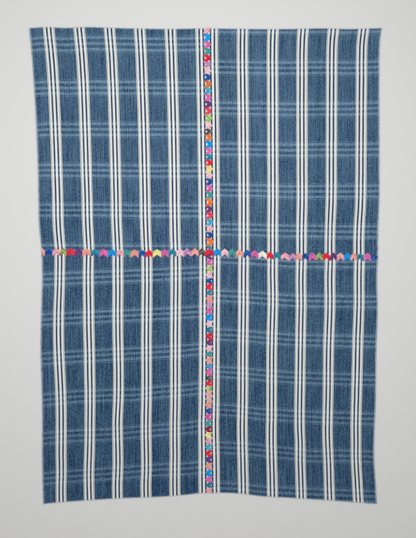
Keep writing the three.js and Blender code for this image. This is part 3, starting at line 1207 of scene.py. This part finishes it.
@dataclass(frozen=True)
class EmbroideryYarn:
    """The finish of the embroidery: soft cotton yarn, twisted from strands, in the shade of each stitch; its
    grooves get painted shade.

    Attributes:
        name: The material's name.
        strand_turns: Turns of the twist over one unit of the stitch map.
        strands: Strands in the yarn.
        fuzz: Grain of its fuzz.
        groove: Share of painted shade in the grooves between the strands.
        painted_groove_shade: How dark that painted shade is.
        relief: Height of its fine relief.
        surface: How it takes the light.
    """

    name: str = "embroidery_yarn"
    strand_turns: float = 1.0
    strands: float = 4.0
    fuzz: Grain = Grain(9.0, 14.0, detail=3.0)
    groove: Uneven = Uneven(0.5, ply=-0.9, fuzz=0.8)
    painted_groove_shade: float = 0.18
    relief: Uneven = Uneven(0.5, ply=0.8, fuzz=0.4)
    surface: Surface = Surface(
        Uneven(0.62, fuzz=0.25), specular=0.15, sheen=0.05, sheen_roughness=0.5, bump=0.5, depth=0.0003
    )

    def make(self) -> bpy.types.Material:
        """Makes the yarn's material.

        Returns:
            The material.
        """
        sheet = NodeSheet(self.name)
        along, around = sheet.uv(STITCH_MAP)
        turn = sheet.math("MULTIPLY_ADD", along, self.strand_turns, around)
        strands = sheet.math("SINE", sheet.times(turn, 2 * math.pi * self.strands))
        ply = sheet.math("MULTIPLY_ADD", strands, 0.5, 0.5)
        kinds = {"ply": ply, "fuzz": sheet.noise(self.fuzz, along, around)}
        shade = sheet.attribute(YARN_SHADE, "Color")
        # Painted shade: the yarn's colour is darkened towards black in the grooves between the strands.
        colour = sheet.blend(sheet.times(sheet.weigh(self.groove, kinds), self.painted_groove_shade), shade, BLACK)
        return sheet.finish(self.surface, colour, kinds, sheet.weigh(self.relief, kinds))


class YarnLie(NamedTuple):
    """How the yarn of a stitch lies: half its breadth and height, and the heights of its middle and ends."""

    half_breadth: float
    half_height: float
    middle: float
    ends: float


class Stitch(NamedTuple):
    """One straight stitch: where it goes into the cloth in plan, its linear colour and how its yarn lies."""

    start: Floats
    end: Floats
    shade: Floats
    lie: YarnLie


@dataclass
class StitchPattern:
    """One straight stitch of yarn, modelled once and copied for every stitch.

    Attributes:
        sides: Sides of the yarn.
        rings: Places along it, from -0.5 to 0.5, where it has a ring of points.
        end_share: Share of its length over which it rises out of the cloth.
        end_breadth: Breadth of its ends, as a share of its own.
        end_height: Height of its ends, as a share of its own.
        bow: Share of its rise that goes on to its middle.
        map_unit: Length of one unit of the stitch map.
        along: Each point's share of the way along the stitch.
        ring: Each point's place on the yarn's round, as two shares of its half breadth and half height.
        faces: The faces, as rows of points.
        chart: Each face corner's place in the stitch map.
    """

    sides: int = 6
    rings: tuple[float, ...] = (-0.46, -0.38, 0.0, 0.38, 0.46)
    end_share: float = 0.10
    end_breadth: float = 0.62
    end_height: float = 0.7
    bow: float = 0.15
    map_unit: float = 0.004
    along: Floats = field(init=False)
    ring: Floats = field(init=False)
    faces: list[list[int]] = field(init=False)
    chart: Floats = field(init=False)

    def __post_init__(self) -> None:
        """Models the stitch: a round bar, cut into rings along its length."""
        bpy.ops.object.select_all(action="DESELECT")
        bpy.ops.mesh.primitive_cylinder_add(vertices=self.sides, radius=1, depth=1)
        bar = bpy.context.object
        bpy.ops.object.mode_set(mode="EDIT")
        for height in self.rings:
            bpy.ops.mesh.select_all(action="SELECT")
            bpy.ops.mesh.bisect(plane_co=(0, 0, height), plane_no=(0, 0, 1))
        bpy.ops.object.mode_set(mode="OBJECT")
        points = np.array([vertex.co for vertex in bar.data.vertices])
        self.along = points[:, 2] + 0.5
        self.ring = points[:, :2]
        self.faces = [list(face.vertices) for face in bar.data.polygons]
        self.chart = np.concatenate([self.face_chart(face) for face in self.faces])
        bpy.data.meshes.remove(bar.data)

    def face_chart(self, face: list[int]) -> Floats:
        """Lays a face out in the stitch map.

        Args:
            face: The face's points.

        Returns:
            Its corners: shares of the way along the stitch, and turns round it without a jump.
        """
        around = np.arctan2(self.ring[face, 1], self.ring[face, 0]) / (2 * math.pi) % 1.0
        if np.ptp(around) > 0.5:
            around = np.where(around < 0.5, around + 1, around)
        return np.column_stack([self.along[face], around])

    def lay(self, name: str, stitches: Sequence[Stitch]) -> bpy.types.Object:
        """Lays stitches as copies of the pattern, in one mesh.

        Args:
            name: The piece's name.
            stitches: The stitches.

        Returns:
            The piece.
        """
        starts, ends, shades, lies = (np.array(column) for column in zip(*stitches))
        half_breadths, half_heights, middles, dips = lies.T[..., None]
        run = ends - starts
        lengths = np.linalg.norm(run, axis=1)
        aside = np.column_stack([-run[:, 1], run[:, 0]]) / lengths[:, None]
        share = self.along[None, :]
        rise = smooth_step(0, self.end_share, share) * smooth_step(0, self.end_share, 1 - share)
        breadth = half_breadths * (self.end_breadth + (1 - self.end_breadth) * rise) * self.ring[:, 0]
        height = half_heights * (self.end_height + (1 - self.end_height) * rise) * self.ring[:, 1]
        climb = (1 - self.bow) * rise + self.bow * np.sin(math.pi * share)
        upwards = dips + (middles - dips) * climb + height
        plan = starts[:, None] + share[..., None] * run[:, None] + breadth[..., None] * aside[:, None]
        points = np.concatenate([plan, upwards[..., None]], axis=2).reshape(-1, 3)
        count, size = len(starts), len(self.along)
        faces = [[corner + size * copy for corner in face] for copy in range(count) for face in self.faces]
        mesh = bpy.data.meshes.new(name)
        mesh.from_pydata(points, [], faces)
        charts = np.tile(self.chart, (count, 1))
        charts[:, 0] *= np.repeat(lengths / self.map_unit, len(self.chart))
        mesh.uv_layers.new(name=STITCH_MAP).uv.foreach_set("vector", charts.ravel())
        shades = np.repeat(np.column_stack([shades, np.ones(count)]), size, axis=0)
        mesh.attributes.new(YARN_SHADE, "FLOAT_COLOR", "POINT").data.foreach_set("color", shades.ravel())
        return self.turn_outwards(name, mesh)

    @staticmethod
    def turn_outwards(name: str, mesh: bpy.types.Mesh) -> bpy.types.Object:
        """Makes a piece of a mesh of stitches, with its faces turned outwards and shaded smooth.

        Args:
            name: The piece's name.
            mesh: The stitches.

        Returns:
            The piece.
        """
        piece = bpy.data.objects.new(name, mesh)
        bpy.context.collection.objects.link(piece)
        bpy.ops.object.select_all(action="DESELECT")
        piece.select_set(True)
        bpy.context.view_layer.objects.active = piece
        bpy.ops.object.mode_set(mode="EDIT")
        bpy.ops.mesh.select_all(action="SELECT")
        bpy.ops.mesh.normals_make_consistent(inside=False)
        bpy.ops.object.mode_set(mode="OBJECT")
        bpy.ops.object.shade_smooth()
        return piece


@dataclass(frozen=True)
class Hand:
    """The hand's unevenness: spreads of what is drawn by chance for each stitch.

    Attributes:
        place: Of its place in its arm, in stitches.
        end: Of where it goes into the cloth.
        breadth: Of its breadth, as a share.
        height: Of its height.
        motif_tone: Of the tone of its half motif, as a share.
        tone: Of its own tone on the face, as a share.
        back_tone: The same on the back.
        fleck: Least and greatest part of the flecks' share that a flecked stitch has.
    """

    place: float = 0.08
    end: float = 0.0003
    breadth: float = 0.05
    height: float = 0.00008
    motif_tone: float = 0.03
    tone: float = 0.18
    back_tone: float = 0.05
    fleck: tuple[float, float] = (0.5, 1.0)


class HalfMotif(NamedTuple):
    """Half a chevron: its motif, and its tip and the joint beside it on the band's line, in plan."""

    motif: Motif
    tip: Floats
    joint: Floats


@dataclass(frozen=True)
class JoiningBand:
    """A band of chevrons worked over a seam, in yarn of a new shade for each.

    Attributes:
        name: The piece's name.
        node: The solid that it stands for.
        path: Its seams, in order.
        chart: Its motifs, in words.
        points: Which way the chevrons point, in plan.
        rise: Distance from a chevron's notch to its tip, across the seam.
        arm: Depth of an arm, across the seam.
        seed: Start of its small unevenness.
        short: How far the band stops short of its far end.
        over: How far it stands up over other bands where it crosses them.
        sway: Rows of a share of its length and how far it strays there from the seam, the way that it points.
        hand: The hand's unevenness.
        stitches: Stitches in half a motif.
        flecked_stitches: Neighbouring stitches in half a motif that the fleck's shade runs through.
        overlap: Half a stitch's breadth, as a share of the distance from one stitch to the next.
        past_tip: How far stitches reach past the tip, in turn.
        past_joint: How far they reach past the joint.
        yarn_height: Half the height of the yarn, which lies flattened.
        bedding: How high the yarn's middle lies over the cloth, as a share of that.
        dip: How deep a stitch's ends go into the cloth.
        crown: Rise of the middle of an arm, which is padded by the yarn beneath.
        crossing_reach: Distance from the crossing within which one band lies over another.
        back_stitches: Stitches on the back of half a motif.
        back_short: How far these stop short of both ends.
        back_tone: Their tone, as a share of the yarn's.
        back_lie: How their yarn lies.
        closing: Number of plain stitches that close the seam beyond the band's far end.
        closing_half: Half the length of one of these.
        closing_tone: Their tone, as a share of the yarn's.
        closing_lie: How their yarn lies.
        line_points: Points along each seam that the band's line is measured at.
    """

    name: str
    node: str
    path: tuple[Edge, ...]
    chart: str
    points: tuple[float, float]
    rise: float
    arm: float
    seed: int
    short: float = 0.0
    over: float = 0.0
    sway: tuple[tuple[float, float], ...] = ((0.0, 0.0), (1.0, 0.0))
    hand: Hand = Hand()
    stitches: int = 7
    flecked_stitches: int = 2
    overlap: float = 0.71
    past_tip: tuple[float, float] = (0.0006, 0.0016)
    past_joint: float = 0.0006
    yarn_height: float = 0.0006
    bedding: float = 0.8
    dip: float = 0.0005
    crown: float = 0.0006
    crossing_reach: float = 0.020
    back_stitches: int = 4
    back_short: float = 0.001
    back_tone: float = 0.92
    back_lie: YarnLie = YarnLie(0.0009, 0.0002, middle=0.00022, ends=0.0006)
    closing: int = 0
    closing_half: float = 0.0030
    closing_tone: float = 0.6
    closing_lie: YarnLie = YarnLie(
        0.0008, 0.0003, middle=LIE.seam_top() + 0.0002, ends=LIE.seam_top() - 0.0006
    )
    line_points: int = 401

    def route(self, share: Floats) -> Floats:
        """Points of the band's line.

        Args:
            share: Shares of its length.

        Returns:
            The points, with x and y along the last axis.
        """
        steps = np.linspace(0, 1, self.line_points)
        line = self.path[0].at(steps)
        for edge in self.path[1:]:
            line = np.concatenate([line, edge.at(steps[::-1])[1:]])
        lengths = np.concatenate([[0], np.cumsum(np.linalg.norm(np.diff(line, axis=0), axis=1))])
        share = np.asarray(share, dtype=float)
        at = share * (lengths[-1] - self.short)
        places = np.stack([np.interp(at, lengths, line[:, axis]) for axis in (0, 1)], axis=-1)
        knots, strays = np.array(self.sway).T
        return places + smooth_through(knots, strays, share)[..., None] * np.array(self.points)

    def half_motifs(self) -> list[HalfMotif]:
        """Reads the chart.

        Returns:
            The half motifs along the band.
        """
        motifs = [Motif.read(words) for words in self.chart.split(",")]
        bounds = np.cumsum([0.0, *(motif.breadth.value for motif in motifs)])
        bounds /= bounds[-1]
        halves = []
        for index, (motif, start, end) in enumerate(zip(motifs, bounds[:-1], bounds[1:])):
            if motif.breadth in (Breadth.HALF, Breadth.LONG_HALF):
                tip, joints = (start, [end]) if index == 0 else (end, [start])
            else:
                tip, joints = (start + end) / 2, [start, end]
            halves += [HalfMotif(motif, self.route(tip), self.route(joint)) for joint in joints]
        return halves

    def ends(self, half: HalfMotif, depth: float) -> tuple[Floats, Floats]:
        """Places the ends of a stitch.

        Args:
            half: The half motif that it is in.
            depth: Its share of the way up the arm.

        Returns:
            Its ends by the tip and by the joint.
        """
        points = np.array(self.points)
        up = depth * self.arm - (self.rise + self.arm) / 2
        return half.tip + (up + self.rise) * points, half.joint + up * points

    def heading(self, half: HalfMotif) -> tuple[Floats, float]:
        """Finds the way that the stitches of a half motif run.

        Args:
            half: The half motif.

        Returns:
            The way from its tip to its joint, and the share of the arm's depth that is left square to it.
        """
        start, end = self.ends(half, 0.0)
        length = np.linalg.norm(end - start)
        return (end - start) / length, float(np.linalg.norm(half.joint - half.tip) / length)

    def height_over(self, middle: Floats) -> float:
        """How much a stitch stands up over the other bands at the crossing, or presses down under them."""
        nearness = np.abs(middle - np.array(Corner.CROSSING.value)).max() / self.crossing_reach
        return self.over * float(hump(nearness))

    def work_face(self, half: HalfMotif, number: int, chance: np.random.Generator) -> list[Stitch]:
        """Works the face of a half motif.

        Args:
            half: The half motif.
            number: Its number along the band.
            chance: What draws the unevenness.

        Returns:
            Its stitches.
        """
        hand, motif, top = self.hand, half.motif, LIE.seam_top()
        ahead, square = self.heading(half)
        pitch = square * self.arm / self.stitches
        motif_tone = chance.normal(1.0, hand.motif_tone)
        first_flecked = int(chance.integers(self.stitches))
        laid = []
        for index in range(self.stitches):
            depth = (index + 0.5 + chance.normal(0, hand.place)) / self.stitches
            start, end = self.ends(half, depth)
            start = start - ahead * chance.normal(self.past_tip[(index + number) % 2], hand.end)
            end = end + ahead * chance.normal(self.past_joint, hand.end)
            is_flecked = (index - first_flecked) % self.stitches < self.flecked_stitches
            fleck = motif.share * chance.uniform(*hand.fleck) if is_flecked else 0.0
            shade = motif.shade(fleck) * motif_tone * chance.normal(1.0, hand.tone)
            half_breadth = self.overlap * pitch * chance.normal(1.0, hand.breadth)
            crown = self.crown * (1 - (2 * depth - 1) ** 2) + self.height_over((start + end) / 2)
            middle = top + self.bedding * self.yarn_height + crown + abs(chance.normal(0, hand.height))
            lie = YarnLie(half_breadth, self.yarn_height, middle, top - self.dip)
            laid.append(Stitch(start, end, np.clip(shade, 0, 1), lie))
        return laid

    def work_back(self, half: HalfMotif, chance: np.random.Generator) -> list[Stitch]:
        """Works the back of a half motif.

        Args:
            half: The half motif.
            chance: What draws the unevenness.

        Returns:
            Its stitches.
        """
        ahead, _ = self.heading(half)
        short = self.back_short * ahead
        laid = []
        for index in range(self.back_stitches):
            depth = (index + 0.5 + chance.normal(0, self.hand.place)) / self.back_stitches
            start, end = self.ends(half, depth)
            shade = half.motif.shade() * chance.normal(self.back_tone, self.hand.back_tone)
            laid.append(Stitch(start + short, end - short, np.clip(shade, 0, 1), self.back_lie))
        return laid

    def close(self) -> list[Stitch]:
        """Closes the bare seam beyond the band's far end.

        Returns:
            The plain stitches that close it.
        """
        points = np.array(self.points)
        shade = self.closing_tone * Yarn.NAVY.colour()
        half = self.closing_half * points
        beyond = ((index + 0.5) / self.closing * self.short for index in range(self.closing))
        middles = [self.route(1.0) + far * points[::-1] for far in beyond]
        return [Stitch(middle - half, middle + half, shade, self.closing_lie) for middle in middles]

    def work(self) -> list[Stitch]:
        """Works the whole band.

        Returns:
            The stitches of each half motif, on the face and on the back, and those that close the seam.
        """
        chance = np.random.default_rng(self.seed)
        laid = []
        for number, half in enumerate(self.half_motifs()):
            laid += self.work_face(half, number, chance)
            laid += self.work_back(half, chance)
        return laid + self.close()

    def build(self, pattern: StitchPattern) -> bpy.types.Object:
        """Lays the band's stitches as one piece."""
        return pattern.lay(self.name, self.work())

    def dress(self, piece: bpy.types.Object, yarn: bpy.types.Material) -> None:
        """Gives the piece its material and body.

        Args:
            piece: The band.
            yarn: The yarn's material.
        """
        piece.data.materials.append(yarn)
        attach(piece, "root")
        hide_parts(self.node)


QUARTERS = (
    Quarter(
        name="cloth_upper_left",
        node="panel_upper_left",
        selvedge=Edge.SELVEDGE_UPPER_LEFT,
        hem=Edge.HEM_TOP_LEFT,
        seam=Edge.SEAM_UPPER,
        cross=Edge.CROSS_SEAM_LEFT,
        to_seam=1,
        to_cross=-1,
        wefts=(
            (0.056, 0.053),
            (0.206, 0.203),
            (0.347, 0.344),
            (0.485, 0.485),
            (0.620, 0.621),
            (0.758, 0.759),
        ),
        pulls=(
            Pull(2.5, 0.00, 0.0020, 0.08, 4.0),
            Pull(1.0, 0.20, -0.0020, 0.20, 1.2),
            Pull(3.0, 0.40, 0.0014, 0.60, 0.8),
            Pull(0.7, 0.83, -0.0022, 0.15, 1.2),
            Pull(5.0, 0.52, 0.0011, 0.30, 0.6),
        ),
        weft_pulls=(
            Pull(0.5, 0.07, -0.0030, 0.07, 0.6),
            Pull(3.2, 0.26, 0.0026, 0.08, 1.0),
            Pull(3.5, 0.45, 0.0026, 0.08, 0.6),
            Pull(1.6, 0.81, 0.0020, 0.10, 1.0),
        ),
        map_start=0,
    ),
    Quarter(
        name="cloth_upper_right",
        node="panel_upper_right",
        selvedge=Edge.SELVEDGE_UPPER_RIGHT,
        hem=Edge.HEM_TOP_RIGHT,
        seam=Edge.SEAM_UPPER,
        cross=Edge.CROSS_SEAM_RIGHT,
        to_seam=-1,
        to_cross=-1,
        wefts=(
            (-0.007, -0.007),
            (0.133, 0.131),
            (0.272, 0.271),
            (0.412, 0.410),
            (0.555, 0.550),
            (0.693, 0.683),
        ),
        pulls=(
            Pull(0.0, 0.10, 0.0042, 0.45, 1.8),
            Pull(2.6, 0.10, 0.0026, 0.30, 1.5),
            Pull(0.4, 0.95, -0.0026, 0.15, 1.0),
            Pull(5.0, 0.75, -0.0011, 0.40, 0.6),
            Pull(2.0, 0.30, -0.0011, 0.35),
            Pull(1.0, 0.55, -0.0009, 0.60),
        ),
        weft_pulls=(
            Pull(1.5, 0.36, -0.0020, 0.06, 1.4),
            Pull(2.0, 0.89, 0.0032, 0.06, 0.9),
        ),
        bow=0.001,
        map_start=20,
    ),
    Quarter(
        name="cloth_lower_left",
        node="panel_lower_left",
        selvedge=Edge.SELVEDGE_LOWER_LEFT,
        hem=Edge.HEM_BOTTOM_LEFT,
        seam=Edge.SEAM_LOWER,
        cross=Edge.CROSS_SEAM_LEFT,
        to_seam=1,
        to_cross=1,
        wefts=(
            (0.086, 0.088),
            (0.223, 0.229),
            (0.353, 0.357),
            (0.494, 0.491),
            (0.627, 0.618),
            (0.764, 0.751),
        ),
        pulls=(
            Pull(0.8, 0.92, 0.0034, 0.10, 1.3),
            Pull(0.0, 0.70, 0.0034, 0.14, 0.7),
            Pull(1.4, 0.53, -0.0032, 0.18, 1.1),
            Pull(0.4, 0.27, -0.0026, 0.16, 1.2),
            Pull(2.4, 0.04, 0.0044, 0.10, 2.2),
            Pull(0.0, 0.82, 0.0018, 0.10),
            Pull(1.0, 0.86, 0.0012, 0.07),
            Pull(1.0, 0.61, -0.0016, 0.08),
            Pull(2.0, 0.56, -0.0014, 0.12),
            Pull(2.0, 0.31, 0.0022, 0.07),
            Pull(3.0, 0.34, 0.0013, 0.14),
            Pull(0.0, 0.12, -0.0019, 0.06),
            Pull(1.0, 0.12, 0.0012, 0.06),
            Pull(2.0, 0.12, -0.0016, 0.06),
            Pull(3.0, 0.11, -0.0014, 0.06),
        ),
        weft_pulls=(
            Pull(2.5, 0.42, 0.0051, 0.08, 0.6),
            Pull(0.5, 0.42, -0.0026, 0.08, 0.6),
            Pull(1.8, 0.26, 0.0048, 0.06, 0.8),
            Pull(3.4, 0.11, -0.0050, 0.06, 0.8),
        ),
        map_start=40,
    ),
    Quarter(
        name="cloth_lower_right",
        node="panel_lower_right",
        selvedge=Edge.SELVEDGE_LOWER_RIGHT,
        hem=Edge.HEM_BOTTOM_RIGHT,
        seam=Edge.SEAM_LOWER,
        cross=Edge.CROSS_SEAM_RIGHT,
        to_seam=-1,
        to_cross=1,
        wefts=(
            (0.025, 0.016),
            (0.161, 0.156),
            (0.290, 0.285),
            (0.422, 0.413),
            (0.552, 0.540),
            (0.688, 0.672),
            (0.825, 0.804),
        ),
        pulls=(
            Pull(0.0, 0.91, 0.0022, 0.10, 0.8),
            Pull(1.0, 0.60, -0.0026, 0.25, 1.6),
            Pull(4.6, 0.60, -0.0020, 0.25, 1.2),
            Pull(0.0, 0.40, -0.0020, 0.12, 0.8),
            Pull(2.4, 0.15, 0.0028, 0.22, 1.2),
            Pull(1.0, 0.17, 0.0024, 0.08, 0.6),
            Pull(3.0, 0.84, 0.0018, 0.10),
            Pull(3.0, 0.32, 0.0012, 0.08),
            Pull(2.0, 0.60, 0.0008, 0.10),
            Pull(2.0, 0.39, -0.0012, 0.07),
            Pull(2.0, 0.23, 0.0020, 0.05),
            Pull(1.0, 0.32, -0.0009, 0.15),
            Pull(0.0, 0.60, 0.0010, 0.10),
            Pull(0.0, 0.24, 0.0012, 0.06),
        ),
        weft_pulls=(
            Pull(2.0, 0.34, 0.0018, 0.06, 2.5),
            Pull(3.5, 0.34, 0.0024, 0.06, 0.6),
            Pull(1.5, 0.18, 0.0068, 0.06, 0.55),
            Pull(3.5, 0.19, -0.0036, 0.06, 0.6),
        ),
        bow=-0.004,
        map_start=60,
    ),
)

BANDS = (
    JoiningBand(
        name="stitches_upper",
        node="joining_band_upper",
        path=(Edge.SEAM_UPPER,),
        chart=UPPER_CHART,
        points=(1.0, 0.0),
        rise=0.0112,
        arm=0.0172,
        seed=11,
        over=-0.0009,
    ),
    JoiningBand(
        name="stitches_lower",
        node="joining_band_lower",
        path=(Edge.SEAM_LOWER,),
        chart=LOWER_CHART,
        points=(-1.0, 0.0),
        rise=0.0112,
        arm=0.0172,
        seed=12,
        over=-0.0009,
    ),
    JoiningBand(
        name="stitches_cross",
        node="joining_band_cross",
        path=(Edge.CROSS_SEAM_LEFT, Edge.CROSS_SEAM_RIGHT),
        chart=CROSS_CHART,
        points=(0.0, 1.0),
        rise=0.0106,
        arm=0.0184,
        seed=13,
        short=0.012,
        over=0.0004,
        sway=(
            (0.0, 0.0030),
            (0.087, 0.0030),
            (0.20, 0.0012),
            (0.327, -0.0008),
            (0.42, 0.0030),
            (0.55, 0.0028),
            (0.68, -0.0006),
            (0.81, 0.0003),
            (0.93, 0.0018),
            (1.0, 0.0018),
        ),
        closing=9,
    ),
)


class Light(Enum):
    """The soft lights: place, side of the square, and power in watts."""

    KEY = ((-0.09, 0.36, 1.55), 1.8, 22.0)
    FILL = ((0.3, -2.2, 2.7), 2.4, 1.0)


@dataclass(frozen=True)
class Studio:
    """The floor, the lights and the camera.

    Attributes:
        floor_side: Side of the floor.
        floor_drop: How far the floor lies under the cloth, so that the two don't touch.
        floor_shade: Colour of the floor.
        floor_surface: How the floor takes the light.
        sky_strength: Strength of the even light from all round.
        view_middle: The point that the camera looks at, in plan.
        view_height: What the picture takes in from top to bottom.
        lens: Focal length in millimetres.
        sensor: The sensor's long side in millimetres.
    """

    floor_side: float = 40.0
    floor_drop: float = 0.0002
    floor_shade: Colour = linear("#dcdcda")
    floor_surface: Surface = Surface(Uneven(0.9), specular=0.1)
    sky_strength: float = 0.44
    view_middle: tuple[float, float] = (0.0085, -0.0119)
    view_height: float = 1.8292
    lens: float = 85.0
    sensor: float = 36.0

    def build(self) -> None:
        """Sets up the floor, the lights and the camera."""
        self.lay_floor()
        self.hang_lights()
        self.set_camera()

    def lay_floor(self) -> None:
        """Lays the plain pale floor."""
        bpy.ops.object.select_all(action="DESELECT")
        bpy.ops.mesh.primitive_plane_add(size=self.floor_side, location=(0, 0, -self.floor_drop))
        floor = bpy.context.object
        floor.name = "floor"
        finish = NodeSheet("pale_floor").finish(self.floor_surface, self.floor_shade, {})
        floor.data.materials.append(finish)

    def hang_lights(self) -> None:
        """Hangs the soft lights, aimed at the cloth, and sets the even light."""
        for light in Light:
            place, side, power = light.value
            aim = (-Vector(place)).to_track_quat("-Z", "Y")
            bpy.ops.object.light_add(type="AREA", location=place, rotation=aim.to_euler())
            lamp = bpy.context.object
            lamp.name = f"{light.name.lower()}_light"
            lamp.data.size = side
            lamp.data.energy = power
            lamp.visible_camera = False
        world = bpy.data.worlds.new("studio")
        world.use_nodes = True
        sky = world.node_tree.nodes["Background"].inputs
        sky["Color"].default_value = (*WHITE, 1)
        sky["Strength"].default_value = self.sky_strength
        bpy.context.scene.world = world
        bpy.context.scene.view_settings.view_transform = "Standard"

    def set_camera(self) -> None:
        """Sets the camera straight above the cloth, with the cloth's top hem up."""
        distance = self.view_height * self.lens / self.sensor
        bpy.ops.object.camera_add(location=(*self.view_middle, distance), rotation=(0, 0, 0))
        camera = bpy.context.object
        camera.data.lens = self.lens
        camera.data.sensor_width = self.sensor
        bpy.context.scene.camera = camera


def main() -> None:
    """Builds the studio, the cloth and its joining bands, and reports each piece."""
    logging.basicConfig(level=logging.INFO, format="%(name)s: %(message)s")
    Studio().build()
    yarn = EmbroideryYarn().make()
    pattern = StitchPattern()
    worked = {}
    for band in BANDS:
        piece = band.build(pattern)
        band.dress(piece, yarn)
        worked.update(dict.fromkeys(band.path, piece))
        LOG.info("%s: %d faces", piece.name, len(piece.data.polygons))
    cloth = WEAVE.make()
    for quarter in QUARTERS:
        piece = quarter.build()
        quarter.dress(piece, cloth)
        quarter.declare(piece, [worked[quarter.seam], worked[quarter.cross]])
        LOG.info("%s: %d faces", piece.name, len(piece.data.polygons))


if __name__ == "__main__":
    main()
